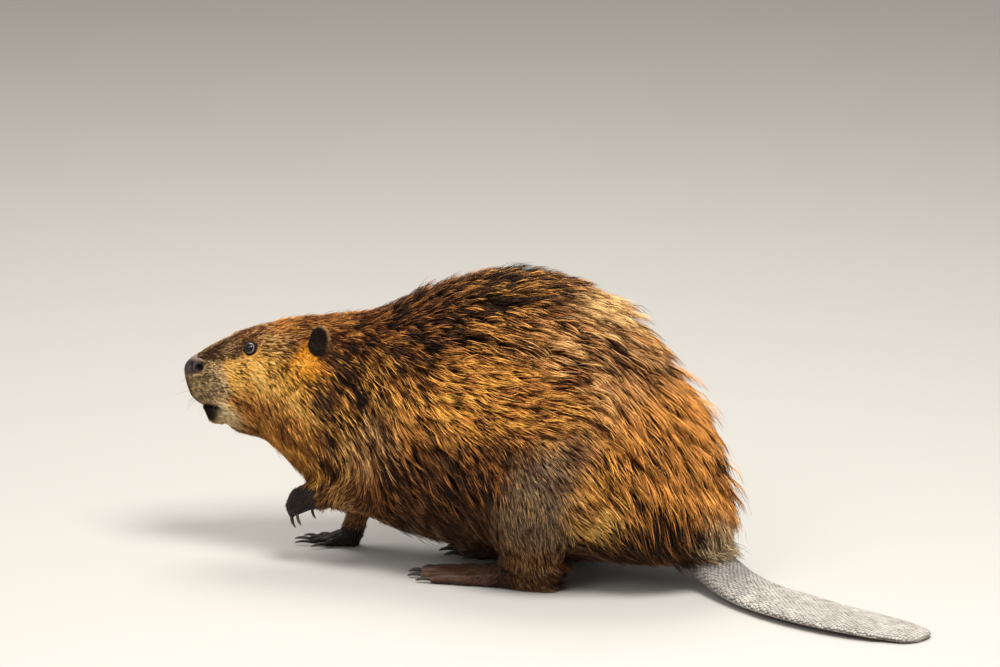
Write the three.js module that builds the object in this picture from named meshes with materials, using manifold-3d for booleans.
// A North American beaver at life size, walking with its left forepaw raised and its tail on the ground.
// Millimetres, +Z up. The animal faces -Y, its left side is +X, and z = 0 is the ground.
// Every solid reaches out to the tips of the coat. The body is shaped whole and parted by thin cuts.
import * as THREE from "three";
import { mergeVertices } from "three/addons/utils/BufferGeometryUtils.js";
import Module from "manifold-3d";

const wasm = await Module();
wasm.setup();

// ---------------------------------------------------------------- driving dimensions

const GAP = 0.3; // clearance between pieces that touch

// Sections of the body from nose to rump, square to its length, before the neck turns.
// y: place, top and bottom: heights, half: half width, widest: height of the widest line as a share
// from bottom to top, square: 2 is an ellipse and more is boxier.
const SECTIONS = [
  { y: -367, top: 207, bottom: 187, half: 15, widest: 0.5, square: 2.4 }, // nose tip
  { y: -361, top: 213, bottom: 173, half: 20, widest: 0.42, square: 2.5 }, // upper lip
  { y: -352, top: 219, bottom: 164, half: 24, widest: 0.38, square: 2.6 }, // whisker pad
  { y: -344, top: 224.5, bottom: 153, half: 26.5, widest: 0.38, square: 2.6 }, // lower lip
  { y: -332, top: 231, bottom: 143, half: 29.5, widest: 0.4, square: 2.5 }, // chin
  { y: -314, top: 241, bottom: 138, half: 34.5, widest: 0.44, square: 2.3 }, // corner of the mouth
  { y: -290, top: 249, bottom: 131, half: 43, widest: 0.45, square: 2.25 }, // eye
  { y: -267, top: 255, bottom: 116, half: 52, widest: 0.46, square: 2.2 }, // cheek
  { y: -245, top: 259.5, bottom: 97, half: 59, widest: 0.47, square: 2.15 }, // throat
  { y: -218, top: 261.5, bottom: 71, half: 64, widest: 0.48, square: 2.1 }, // ear
  { y: -190, top: 263, bottom: 53, half: 70, widest: 0.46, square: 2.1 }, // nape
  { y: -150, top: 276, bottom: 39, half: 82, widest: 0.42, square: 2.1 }, // shoulder
  { y: -105, top: 297, bottom: 30, half: 96, widest: 0.39, square: 2.1 }, // ribs
  { y: -60, top: 314, bottom: 25, half: 109, widest: 0.38, square: 2.15 }, // back
  { y: -10, top: 321, bottom: 23, half: 119, widest: 0.38, square: 2.15 }, // loin
  { y: 45, top: 313, bottom: 23, half: 124, widest: 0.38, square: 2.15 }, // hip
  { y: 95, top: 287, bottom: 22, half: 120, widest: 0.38, square: 2.15 }, // croup
  { y: 140, top: 243, bottom: 20, half: 103, widest: 0.38, square: 2.15 }, // behind the thighs
  { y: 178, top: 192, bottom: 25, half: 80, widest: 0.39, square: 2.15 }, // rump
  { y: 204, top: 136, bottom: 32, half: 54, widest: 0.4, square: 2.15 }, // tail head
  { y: 217, top: 92, bottom: 38, half: 35, widest: 0.42, square: 2.15 }, // fringe over the tail
];
const NOSE_TIP = { y: -370, z: 199 };
const RUMP_END = { y: 223, z: 50 };
const SECTION_STEP = 24; // furthest apart that two rings of the body stand

const HEAD_TURN = 10; // degrees to the animal's left
const HEAD_ROLL = 5.5; // degrees, its left side higher
const TURN_PIVOT_Y = -150;
const ROLL_PIVOT_Z = 190;
const TURN_FROM_Y = -125; // where the neck starts to turn
const TURN_TO_Y = -215; // in front of this the whole head has turned

const NECK_BACK = { y: -158, lean: 0.5 }; // cut between neck and trunk: place at mid height, and its slope
const NECK_FRONT = { y: -206, lean: 0.28 };
const CUT_HEIGHT = 150; // height where those two places are measured
const MOUTH = { lip: [-349, 161], corner: [-311, 158], jawAngle: [-276, 146], throat: [-262, 96], open: 2.6 };

const NOSE_PAD = { at: [0, -357, 203.5], size: [23, 14.5, 14] };
const EYE = { at: [29.6, -292.5, 226.5], radius: 6.6 };
const LIP_PAD = { at: [12, -343.5, 181], size: [17, 19, 19] }; // where the whiskers grow, each side
// The ear's cup is turned out and back, in degrees. Its hollow opens outwards and leaves a thin rim.
const EAR = { at: [49.5, -217, 240.5], size: [7, 11.5, 17], out: 22, back: 10 };
const EAR_HOLLOW = { at: [6, 1.5, 2], size: [6, 7.5, 12] };

// Legs: joints from the body down, with half sizes fore-and-aft and across. x is for the left side.
const HAUNCH = [
  { at: [68, 78, 188], fore: 42, side: 32 }, // hip
  { at: [84, 60, 156], fore: 66, side: 44 },
  { at: [92, 46, 114], fore: 74, side: 45 }, // thigh
  { at: [91, 38, 76], fore: 57, side: 36 }, // knee and shank
  { at: [80, 34, 42], fore: 38, side: 26 }, // hock
  { at: [71, 32, 22], fore: 30, side: 20 }, // heel
];
const FORELEG_RAISED = [
  { at: [52, -134, 128], fore: 34, side: 26 }, // shoulder
  { at: [61, -142, 104], fore: 32, side: 26 },
  { at: [63, -160, 86], fore: 25, side: 22 }, // elbow
  { at: [60, -186, 81], fore: 17, side: 17 }, // forearm
  { at: [57, -207, 80], fore: 12.5, side: 13 }, // wrist
];
const FORELEG_PLANTED = [
  { at: [-50, -150, 120], fore: 34, side: 26 }, // shoulder
  { at: [-53, -162, 90], fore: 30, side: 25 },
  { at: [-47, -183, 60], fore: 22, side: 21 }, // elbow
  { at: [-38, -200, 34], fore: 14.5, side: 15 }, // forearm
  { at: [-35, -204, 12], fore: 12.5, side: 12 }, // wrist
];

// Feet, in their own frame: the heel at the origin, the toes towards -Y, the sole on z = 0.
// Toes from the inner one out: where each leaves the palm, its length, its fan in degrees, its half width.
const HIND_FOOT = {
  palm: [
    { y: 13, half: 14, height: 15 },
    { y: 0, half: 18, height: 25 },
    { y: -32, half: 20, height: 26 },
    { y: -62, half: 25, height: 20 },
    { y: -88, half: 29, height: 12 },
  ],
  toes: [
    { x: -21, y: -76, length: 33, fan: -13, half: 5 },
    { x: -12, y: -82, length: 47, fan: -6, half: 6 },
    { x: 0, y: -84, length: 52, fan: 0, half: 6.6 },
    { x: 11.5, y: -83, length: 47, fan: 5, half: 6.4 },
    { x: 22, y: -78, length: 37, fan: 10, half: 5.8 },
  ],
  toeHeight: 11,
  claw: { length: 16, half: 3.4, drop: 3 },
  web: 3.2, // thickness of the skin between the toes
};
// Where a foot's heel stands, how far its toes turn in, in degrees, and the height of the cut above it.
const HIND_LEFT = { heel: [70, 38], turn: 6, ankle: 30 };
const HIND_RIGHT = { heel: [65, 40], turn: 12, ankle: 30 };
const FORE_FOOT = {
  palm: [
    { y: 8, half: 9, height: 14 },
    { y: 0, half: 13, height: 20 },
    { y: -13, half: 15.5, height: 17 },
    { y: -25, half: 16.5, height: 11 },
  ],
  toes: [
    { x: -12, y: -12, length: 13, fan: -34, half: 3.6 },
    { x: -8, y: -21, length: 22, fan: -14, half: 4.2 },
    { x: -0.5, y: -23, length: 25, fan: 0, half: 4.4 },
    { x: 7.5, y: -21, length: 23, fan: 12, half: 4.2 },
    { x: 12.5, y: -16, length: 17, fan: 28, half: 3.8 },
  ],
  toeHeight: 9,
  claw: { length: 18, half: 2.7, drop: 3 },
};
const FORE_RIGHT = { heel: [35, -206], turn: 0, ankle: 21 };
// The raised paw: a loosely closed hand that hangs from the wrist.
const RAISED_PAW = {
  wristY: -208, // where it parts from the forearm
  back: [
    { at: [58, -198, 79], fore: 14, side: 13.5 },
    { at: [56.5, -213, 77], fore: 15.5, side: 15 },
    { at: [55, -228, 72], fore: 15.5, side: 16.5 },
    { at: [54, -237, 63], fore: 11.5, side: 15.5 }, // knuckles
  ],
  fingers: [
    { x: 43, y: -222, z: 66, length: 9, half: 3.5 },
    { x: 45.5, y: -238, z: 62, length: 11, half: 4.1 },
    { x: 53, y: -241, z: 61, length: 13, half: 4.3 },
    { x: 60.5, y: -239, z: 62, length: 11, half: 4.2 },
    { x: 67, y: -230, z: 63, length: 8, half: 3.8 },
  ],
  claw: { length: 10, half: 2.5 },
};

// The tail: its middle line with half width, half thickness and roll in degrees, its near edge lower.
const TAIL = [
  { at: [-6, 180, 36], half: 24, thick: 18, roll: 0 },
  { at: [13, 208, 25], half: 27, thick: 14, roll: 0 },
  { at: [36, 236, 15], half: 30, thick: 11, roll: 0 },
  { at: [58, 268, 9.5], half: 36.5, thick: 8.2, roll: -1 },
  { at: [81, 308, 8], half: 43.5, thick: 7, roll: -2 },
  { at: [102, 350, 6.8], half: 46, thick: 6, roll: -3 },
  { at: [118, 391, 6], half: 45, thick: 5.2, roll: -3 },
  { at: [130, 426, 5.1], half: 38, thick: 4.8, roll: -2 },
  { at: [138, 449, 4.3], half: 27, thick: 4.4, roll: 0 },
];
const TAIL_TIP = { at: [145, 466, 3.2] };
const TAIL_SQUARE = 2.5; // its section: 2 is an ellipse and more is boxier
const TAIL_CLOSING = [0.97, 0.992]; // shares of the length with an extra section, for a round end

// Facets: sides around and steps along what is lofted, rings of the balls.
const SIDES_OF = { body: 20, palm: 8, tail: 14, claw: 6 };
const STEPS_OF = { palm: 4, tail: 14 };
const LIMB = { steps: 7, sides: 12 };
const PAW = { steps: 4, sides: 10 };
const TOE = { steps: 2, sides: 6 };
const RINGS_OF = { nose: 6, eye: 5, lipPad: 5, ear: 6, earHollow: 4 };

const FAR = 400; // longer than any piece that a plane cut goes through

// ---------------------------------------------------------------- solids

function solidOf(geometry) {
  const bare = geometry.index ? geometry.toNonIndexed() : geometry.clone();
  bare.deleteAttribute("normal");
  bare.deleteAttribute("uv");
  const merged = mergeVertices(bare, 1e-3);
  return new wasm.Manifold(
    new wasm.Mesh({
      numProp: 3,
      vertProperties: merged.attributes.position.array,
      triVerts: new Uint32Array(merged.index.array),
    }),
  );
}

function geometryOf(solid) {
  const mesh = solid.getMesh();
  const places = new Float32Array(mesh.numVert * 3);
  for (let i = 0; i < mesh.numVert; i++)
    places.set(mesh.vertProperties.subarray(i * mesh.numProp, i * mesh.numProp + 3), i * 3);
  const geometry = new THREE.BufferGeometry();
  geometry.setAttribute("position", new THREE.BufferAttribute(places, 3));
  geometry.setIndex(new THREE.BufferAttribute(new Uint32Array(mesh.triVerts), 1));
  return geometry;
}

const degrees = THREE.MathUtils.degToRad;
const lowest = (solid) => solid.boundingBox().min[2];
const frontmost = (solid) => solid.boundingBox().min[1];
const join = (solids) => solids.reduce((whole, piece) => whole.add(piece));
const cut = (solid, tools) => tools.reduce((left, tool) => left.subtract(tool), solid);
const aboveGround = (solid) => solid.trimByPlane([0, 0, 1], 0);

// A closed skin over rings of points, each ring with the same number, with a point at each end.
function loft(rings, first, last) {
  const sides = rings[0].length;
  const places = [first, ...rings.flat(), last].flatMap((p) => [p.x, p.y, p.z]);
  const end = rings.length * sides + 1;
  const faces = [];
  for (let j = 0; j < sides; j++) {
    const k = (j + 1) % sides;
    faces.push(0, 1 + k, 1 + j);
    for (let i = 0; i + 1 < rings.length; i++) {
      const a = 1 + i * sides + j;
      const b = 1 + i * sides + k;
      faces.push(a, b, a + sides, b, b + sides, a + sides);
    }
    const a = 1 + (rings.length - 1) * sides;
    faces.push(a + j, a + k, end);
  }
  const geometry = new THREE.BufferGeometry();
  geometry.setAttribute("position", new THREE.Float32BufferAttribute(places, 3));
  geometry.setIndex(faces);
  const made = solidOf(geometry);
  if (made.volume() > 0) return made;
  for (let i = 0; i < faces.length; i += 3) [faces[i], faces[i + 1]] = [faces[i + 1], faces[i]];
  geometry.setIndex(faces);
  return solidOf(geometry);
}

// A smooth value through rows of a table that never overshoots them: monotone cubic steps.
function smoothTable(rows, place, keys) {
  const x = rows.map(place);
  const slope = (key, i) => (rows[i + 1][key] - rows[i][key]) / (x[i + 1] - x[i]);
  const tangent = (key, i) => {
    if (i === 0) return slope(key, 0);
    if (i === rows.length - 1) return slope(key, i - 1);
    const before = slope(key, i - 1);
    const after = slope(key, i);
    return before * after <= 0 ? 0 : (2 * before * after) / (before + after);
  };
  return (at) => {
    let i = 0;
    while (i < rows.length - 2 && at > x[i + 1]) i++;
    const h = x[i + 1] - x[i];
    const t = (at - x[i]) / h;
    const found = {};
    for (const key of keys)
      found[key] =
        rows[i][key] * (2 * t ** 3 - 3 * t ** 2 + 1) +
        tangent(key, i) * h * (t ** 3 - 2 * t ** 2 + t) +
        rows[i + 1][key] * (3 * t ** 2 - 2 * t ** 3) +
        tangent(key, i + 1) * h * (t ** 3 - t ** 2);
    return found;
  };
}

const rounded = (value, square) => Math.sign(value) * Math.abs(value) ** (2 / square);

function ballAt(at, size, rings, grow = 0) {
  const ball = new THREE.SphereGeometry(1, rings + 4, rings);
  ball.scale(...size.map((s) => s + grow));
  return ball.translate(...at);
}

// Cuts a solid and returns its pieces from the front to the back of the animal.
function part(solid, tool) {
  return solid.subtract(tool).decompose().sort((a, b) => frontmost(a) - frontmost(b));
}

const mirrored = (joints) => joints.map(({ at: [x, y, z], ...size }) => ({ at: [-x, y, z], ...size }));

// ---------------------------------------------------------------- head, neck and trunk

function bodySection(y, shape) {
  const middle = shape.bottom + (shape.top - shape.bottom) * shape.widest;
  return Array.from({ length: SIDES_OF.body }, (_, j) => {
    const angle = (2 * Math.PI * (j + 0.5)) / SIDES_OF.body;
    const reach = Math.sin(angle) > 0 ? shape.top - middle : middle - shape.bottom;
    return new THREE.Vector3(
      shape.half * rounded(Math.cos(angle), shape.square),
      y,
      middle + reach * rounded(Math.sin(angle), shape.square),
    );
  });
}

function makeBody() {
  const shapeAt = smoothTable(SECTIONS, (row) => row.y, ["top", "bottom", "half", "widest", "square"]);
  const rings = [];
  SECTIONS.forEach((row, i) => {
    if (i === 0) return rings.push(bodySection(row.y, row));
    const from = SECTIONS[i - 1].y;
    const steps = Math.ceil((row.y - from) / SECTION_STEP);
    for (let s = 1; s <= steps; s++) {
      const y = from + ((row.y - from) * s) / steps;
      rings.push(bodySection(y, shapeAt(y)));
    }
  });
  return loft(
    rings,
    new THREE.Vector3(0, NOSE_TIP.y, NOSE_TIP.z),
    new THREE.Vector3(0, RUMP_END.y, RUMP_END.z),
  );
}

// Turns the neck and head to the left and rolls them. It is smooth, so one turn serves every piece.
function turnHead(solid) {
  const geometry = geometryOf(solid);
  const places = geometry.attributes.position;
  const axis = { roll: new THREE.Vector3(0, -1, 0), turn: new THREE.Vector3(0, 0, 1) };
  const at = new THREE.Vector3();
  for (let i = 0; i < places.count; i++) {
    at.fromBufferAttribute(places, i);
    const share = THREE.MathUtils.smoothstep(-at.y, -TURN_FROM_Y, -TURN_TO_Y);
    at.z -= ROLL_PIVOT_Z;
    at.applyAxisAngle(axis.roll, degrees(HEAD_ROLL) * share);
    at.z += ROLL_PIVOT_Z;
    at.y -= TURN_PIVOT_Y;
    at.applyAxisAngle(axis.turn, degrees(HEAD_TURN) * share);
    at.y += TURN_PIVOT_Y;
    places.setXYZ(i, at.x, at.y, at.z);
  }
  return solidOf(geometry);
}

// A thin wall across the body that leans back as it rises, to part what is in front from what is behind.
function crossCut({ y, lean }) {
  const wall = new THREE.BoxGeometry(FAR, GAP, 2 * FAR);
  wall.rotateX(-Math.atan(lean));
  return solidOf(wall.translate(0, y, CUT_HEIGHT));
}

// The mouth's opening and, behind its corner, the thin cut that frees the lower jaw.
function mouthCut() {
  const { lip, corner, jawAngle, throat, open } = MOUTH;
  const ahead = NOSE_TIP.y - 1;
  const outline = new THREE.Shape();
  outline.moveTo(ahead, lip[1] - open / 2);
  outline.lineTo(lip[0], lip[1] - open / 2);
  outline.lineTo(corner[0], corner[1] - GAP);
  outline.lineTo(jawAngle[0] - GAP, jawAngle[1] - GAP);
  outline.lineTo(throat[0] - GAP, throat[1]);
  outline.lineTo(throat[0], throat[1]);
  outline.lineTo(jawAngle[0], jawAngle[1]);
  outline.lineTo(corner[0], corner[1]);
  outline.lineTo(lip[0], lip[1] + open / 2);
  outline.lineTo(ahead, lip[1] + open / 2);
  const slab = new THREE.ExtrudeGeometry(outline, { depth: FAR, bevelEnabled: false });
  // the outline is drawn in length and height, and extruded across the body
  slab.rotateX(Math.PI / 2);
  slab.rotateZ(Math.PI / 2);
  return solidOf(slab.translate(-FAR / 2, 0, 0));
}

function earSolid(side, grow = 0) {
  const outer = solidOf(ballAt([0, 0, 0], EAR.size, RINGS_OF.ear, grow));
  const hollow = solidOf(ballAt(EAR_HOLLOW.at, EAR_HOLLOW.size, RINGS_OF.earHollow));
  const turned = geometryOf(grow ? outer : outer.subtract(hollow));
  turned.rotateZ(degrees(-EAR.out));
  turned.rotateX(degrees(-EAR.back));
  turned.translate(...EAR.at);
  return side > 0 ? solidOf(turned) : solidOf(turned).mirror([1, 0, 0]);
}

function eyeSolid(side, grow = 0) {
  const [x, y, z] = EYE.at;
  return solidOf(ballAt([side * x, y, z], Array(3).fill(EYE.radius), RINGS_OF.eye, grow));
}

// ---------------------------------------------------------------- limbs

// A limb through its joints, oval in section. Each end closes with a smaller ring and a point.
const LIMB_END = { reach: 0.75, ringAt: 0.66, ringSize: 0.75 };

function limb(joints, { steps, sides }, grow = 0) {
  const line = new THREE.CatmullRomCurve3(
    joints.map(({ at }) => new THREE.Vector3(...at)),
    false,
    "centripetal",
  );
  const rows = joints.map(({ fore, side }, place) => ({ place, fore: fore + grow, side: side + grow }));
  const sizeAt = smoothTable(rows, (row) => row.place, ["fore", "side"]);
  const last = joints.length - 1;
  const endReach = (t) => LIMB_END.reach * Math.min(...Object.values(sizeAt(t * last)));
  const ring = (t, shrink = 1, push = 0) => {
    const centre = line.getPoint(t);
    const along = line.getTangent(t);
    const across = new THREE.Vector3(1, 0, 0).addScaledVector(along, -along.x).normalize();
    const fore = new THREE.Vector3().crossVectors(along, across);
    const size = sizeAt(t * last);
    centre.addScaledVector(along, push * endReach(t));
    return Array.from({ length: sides }, (_, j) => {
      const angle = (2 * Math.PI * (j + 0.5)) / sides;
      return centre
        .clone()
        .addScaledVector(across, size.side * shrink * Math.cos(angle))
        .addScaledVector(fore, size.fore * shrink * Math.sin(angle));
    });
  };
  const rings = [ring(0, LIMB_END.ringSize, -LIMB_END.ringAt)];
  for (let s = 0; s <= steps; s++) rings.push(ring(s / steps));
  rings.push(ring(1, LIMB_END.ringSize, LIMB_END.ringAt));
  const end = (t, sign) => line.getPoint(t).addScaledVector(line.getTangent(t), sign * endReach(t));
  return loft(rings, end(0, -1), end(1, 1));
}

// A claw that leaves `from` towards `to`, bowed by `bow`, with a flat root a gap off the toe.
// Its sections: share of the length, and size as a share of the root's half height.
const CLAW_SECTIONS = [
  [0, 1],
  [0.35, 0.85],
  [0.72, 0.55],
];
const CLAW_WIDTH = 0.85; // as a share of its height

function clawSolid(from, to, half, bow) {
  const along = new THREE.Vector3().subVectors(to, from).normalize();
  const root = from.clone().addScaledVector(along, GAP);
  const across = new THREE.Vector3().crossVectors(along, bow).normalize();
  const deep = new THREE.Vector3().crossVectors(across, along);
  const rings = CLAW_SECTIONS.map(([share, size]) => {
    const centre = root.clone().lerp(to, share).addScaledVector(bow, 4 * share * (1 - share));
    return Array.from({ length: SIDES_OF.claw }, (_, j) => {
      const angle = (2 * Math.PI * j) / SIDES_OF.claw;
      return centre
        .clone()
        .addScaledVector(across, size * half * CLAW_WIDTH * Math.cos(angle))
        .addScaledVector(deep, size * half * Math.sin(angle));
    });
  });
  return loft(rings, root, to);
}

// A toe with its tip cut square to the claw that grows there.
function toeSolid({ joints, tip, end }) {
  const along = new THREE.Vector3().subVectors(end, tip).normalize();
  return limb(joints, TOE).trimByPlane(along.clone().negate().toArray(), -along.dot(tip));
}

// ---------------------------------------------------------------- feet on the ground

// A flat-soled pad: sections across the foot, wider than high. Their lower parts reach below the
// ground and are cut off there. middle: the widest line's share of the height, end: how far each end
// bulges as a share of the half width, square: as for the body.
const PALM = { middle: 0.4, end: 0.45, square: 2.3 };

function palmSolid(rows) {
  const shapeAt = smoothTable([...rows].reverse(), (row) => row.y, ["half", "height"]);
  const first = rows[0];
  const last = rows[rows.length - 1];
  const rings = Array.from({ length: STEPS_OF.palm + 1 }, (_, s) => {
    const y = last.y + ((first.y - last.y) * s) / STEPS_OF.palm;
    const { half, height } = shapeAt(y);
    return Array.from({ length: SIDES_OF.palm }, (_, j) => {
      const angle = (2 * Math.PI * (j + 0.5)) / SIDES_OF.palm;
      return new THREE.Vector3(
        half * rounded(Math.cos(angle), PALM.square),
        y,
        height * (PALM.middle + (1 - PALM.middle) * rounded(Math.sin(angle), PALM.square)),
      );
    });
  });
  const point = (row, sign) =>
    new THREE.Vector3(0, row.y + sign * row.half * PALM.end, row.height * PALM.middle);
  return loft(rings, point(last, -1), point(first, 1));
}

// One toe from the palm to its tip, with a raised knuckle, and the end of its claw on the ground.
function toeLine({ x, y, length, fan, half }, { toeHeight: height, claw }) {
  const heading = new THREE.Vector3(Math.sin(degrees(fan)), -Math.cos(degrees(fan)), 0);
  const start = new THREE.Vector3(x, y, 0);
  const at = (share, z) => start.clone().addScaledVector(heading, length * share).setZ(z);
  const joints = [
    { at: at(-0.1, height * 0.7).toArray(), fore: height * 0.55, side: half },
    { at: at(0.45, height * 0.72).toArray(), fore: height * 0.5, side: half },
    { at: at(1, height * 0.4).toArray(), fore: height * 0.44, side: half * 0.85 },
  ];
  const end = at(1, 1.2).addScaledVector(heading, claw.length);
  return { joints, tip: at(1, height * 0.5), end, root: at(0, 0), front: at(0.9, 0) };
}

// Skin between the toes, from their roots to near their tips, with a scooped front edge.
function webSolid(lines, thickness) {
  const outline = new THREE.Shape();
  const inside = 8; // how far the web runs back into the palm
  const scoop = 7; // how far its edge dips between two toes
  const first = lines[0];
  const last = lines[lines.length - 1];
  outline.moveTo(first.root.x, first.root.y + inside);
  outline.lineTo(first.front.x, first.front.y);
  for (let i = 0; i + 1 < lines.length; i++) {
    const a = lines[i].front;
    const b = lines[i + 1].front;
    outline.quadraticCurveTo((a.x + b.x) / 2, Math.max(a.y, b.y) + scoop, b.x, b.y);
  }
  outline.lineTo(last.root.x, last.root.y + inside);
  outline.closePath();
  const options = { depth: thickness, bevelEnabled: false, curveSegments: 2 };
  return solidOf(new THREE.ExtrudeGeometry(outline, options));
}

// A foot made at the origin for the left side.
function groundFoot(foot) {
  const lines = foot.toes.map((toe) => toeLine(toe, foot));
  const web = foot.web ? [webSolid(lines, foot.web)] : [];
  const bow = new THREE.Vector3(0, 0, foot.claw.drop * 0.5);
  return {
    flesh: join([palmSolid(foot.palm), ...lines.map(toeSolid), ...web]),
    claws: lines.map(({ tip, end }) => clawSolid(tip, end, foot.claw.half, bow)),
  };
}

// Sets a foot and its leg down on one side, and parts them at the ankle.
function standingLeg(joints, foot, { heel, turn, ankle }, side) {
  const { flesh, claws } = groundFoot(foot);
  const place = (solid) => {
    const placed = solid.rotate([0, 0, -turn]).translate([heel[0], heel[1], 0]);
    return side > 0 ? placed : placed.mirror([1, 0, 0]);
  };
  const whole = aboveGround(join([limb(joints, LIMB), place(flesh)]));
  const slab = new THREE.BoxGeometry(FAR, FAR, GAP).translate(joints[0].at[0], joints[0].at[1], ankle);
  const [lower, upper] = whole.subtract(solidOf(slab)).decompose().sort((a, b) => lowest(a) - lowest(b));
  return {
    leg: upper,
    foot: lower,
    claws: claws.map((claw) => aboveGround(place(claw))),
  };
}

// The forearm held forward with its paw hanging, parted at the wrist.
function raisedLeg(joints, paw) {
  const fingers = paw.fingers.map(({ x, y, z, length, half }) => ({
    joints: [
      { at: [x, y + 3, z + 3], fore: half * 1.2, side: half },
      { at: [x, y - 1, z - length * 0.45], fore: half * 1.1, side: half },
      { at: [x, y + 1, z - length], fore: half * 0.85, side: half * 0.85 },
    ],
    tip: new THREE.Vector3(x, y + 0.5, z - length),
    end: new THREE.Vector3(x, y + 6, z - length - paw.claw.length),
  }));
  const bow = new THREE.Vector3(0, -1.5, 0);
  const whole = join([limb(joints, LIMB), limb(paw.back, PAW), ...fingers.map(toeSolid)]);
  const slab = new THREE.BoxGeometry(FAR, GAP, FAR).translate(0, paw.wristY, 0);
  const [hand, leg] = part(whole, solidOf(slab));
  const claws = fingers.map(({ tip, end }) => clawSolid(tip, end, paw.claw.half, bow));
  return { leg, foot: hand, claws };
}

// ---------------------------------------------------------------- tail

function tailSolid(grow = 0) {
  const line = new THREE.CatmullRomCurve3([...TAIL, TAIL_TIP].map(({ at }) => new THREE.Vector3(...at)));
  const shapes = TAIL.map((row, place) => ({ ...row, place }));
  const sizeAt = smoothTable(shapes, (row) => row.place, ["half", "thick", "roll"]);
  const last = TAIL.length;
  const ring = (t) => {
    const centre = line.getPoint(t);
    const along = line.getTangent(t);
    const size = sizeAt(Math.min(t * last, last - 1));
    // past the last section the blade closes in a round end
    const close = Math.sqrt(1 - Math.max(0, t * last - last + 1) ** 2);
    const across = new THREE.Vector3(-along.y, along.x, 0).normalize();
    across.applyAxisAngle(along, degrees(size.roll));
    const up = new THREE.Vector3().crossVectors(along, across);
    return Array.from({ length: SIDES_OF.tail }, (_, j) => {
      const angle = (2 * Math.PI * (j + 0.5)) / SIDES_OF.tail;
      return centre
        .clone()
        .addScaledVector(across, (size.half * close + grow) * rounded(Math.cos(angle), TAIL_SQUARE))
        .addScaledVector(up, (size.thick * Math.sqrt(close) + grow) * rounded(Math.sin(angle), TAIL_SQUARE));
    });
  };
  const rings = Array.from({ length: STEPS_OF.tail }, (_, s) => ring(s / STEPS_OF.tail));
  rings.push(...TAIL_CLOSING.map(ring));
  return aboveGround(loft(rings, line.getPoint(0), line.getPoint(1)));
}

// ---------------------------------------------------------------- the pieces

const beaver = new THREE.Group();

const FINISH = {
  coat: { color: 0x6b4526, roughness: 0.75 },
  face: { color: 0x8a6136, roughness: 0.7 },
  paw: { color: 0x2e241e, roughness: 0.6 },
  claw: { color: 0x4a3f38, roughness: 0.4 },
  nose: { color: 0x2c2523, roughness: 0.5 },
  ear: { color: 0x1c1512, roughness: 0.8 },
  eye: { color: 0x120c08, roughness: 0.1 },
  tail: { color: 0x6d6661, roughness: 0.55 },
};

function add(name, solid, finish) {
  const material = new THREE.MeshStandardMaterial({ metalness: 0, ...FINISH[finish] });
  const mesh = new THREE.Mesh(geometryOf(solid), material);
  mesh.name = name;
  beaver.add(mesh);
}

const SIDES = [
  ["left", 1],
  ["right", -1],
];

const tail = tailSolid();
const legs = {
  hind_left: standingLeg(HAUNCH, HIND_FOOT, HIND_LEFT, 1),
  hind_right: standingLeg(mirrored(HAUNCH), HIND_FOOT, HIND_RIGHT, -1),
  fore_left: raisedLeg(FORELEG_RAISED, RAISED_PAW),
  fore_right: standingLeg(FORELEG_PLANTED, FORE_FOOT, FORE_RIGHT, -1),
};
const rooms = [
  ...[HAUNCH, mirrored(HAUNCH), FORELEG_RAISED, FORELEG_PLANTED].map((joints) => limb(joints, LIMB, GAP)),
  limb(RAISED_PAW.back, PAW, GAP),
];

const [headAndNeck, trunk] = part(makeBody(), crossCut(NECK_BACK));
const [headPlain, neckBlank] = part(headAndNeck, crossCut(NECK_FRONT));
const lipPad = solidOf(ballAt(LIP_PAD.at, LIP_PAD.size, RINGS_OF.lipPad));
const headBlank = join([headPlain, lipPad, lipPad.mirror([1, 0, 0])]);
const noseShape = (grow) => solidOf(ballAt(NOSE_PAD.at, NOSE_PAD.size, RINGS_OF.nose, grow));
const sockets = SIDES.flatMap(([, side]) => [eyeSolid(side, GAP), earSolid(side, GAP)]);
const skull = cut(headBlank, [noseShape(GAP), ...sockets]);
const [head, jaw] = part(skull, mouthCut()).sort((a, b) => b.volume() - a.volume());

add("head", cut(turnHead(head), rooms), "face");
add("lower_jaw", turnHead(jaw), "face");
add("nose", turnHead(headBlank.intersect(noseShape(0))), "nose");
for (const [name, side] of SIDES) {
  add("eye_" + name, turnHead(eyeSolid(side)), "eye");
  add("ear_" + name, turnHead(earSolid(side)), "ear");
}
add("neck", cut(turnHead(neckBlank), rooms), "coat");
add("trunk", cut(turnHead(trunk), [...rooms, tailSolid(GAP)]), "coat");
add("tail", tail, "tail");
for (const [name, { leg, foot, claws }] of Object.entries(legs)) {
  const [end, side] = name.split("_");
  add(`${end}leg_${side}`, cut(leg, end === "hind" ? [tailSolid(GAP)] : []), "coat");
  add(`${end}foot_${side}`, foot, "paw");
  claws.forEach((claw, i) => add(`${end}claw_${side}_${i + 1}`, claw, "claw"));
}

// the middle of the outline on the ground is the origin
const outline = new THREE.Box3().setFromObject(beaver, true).getCenter(new THREE.Vector3());
beaver.position.set(-outline.x, -outline.y, 0);

export default beaver;
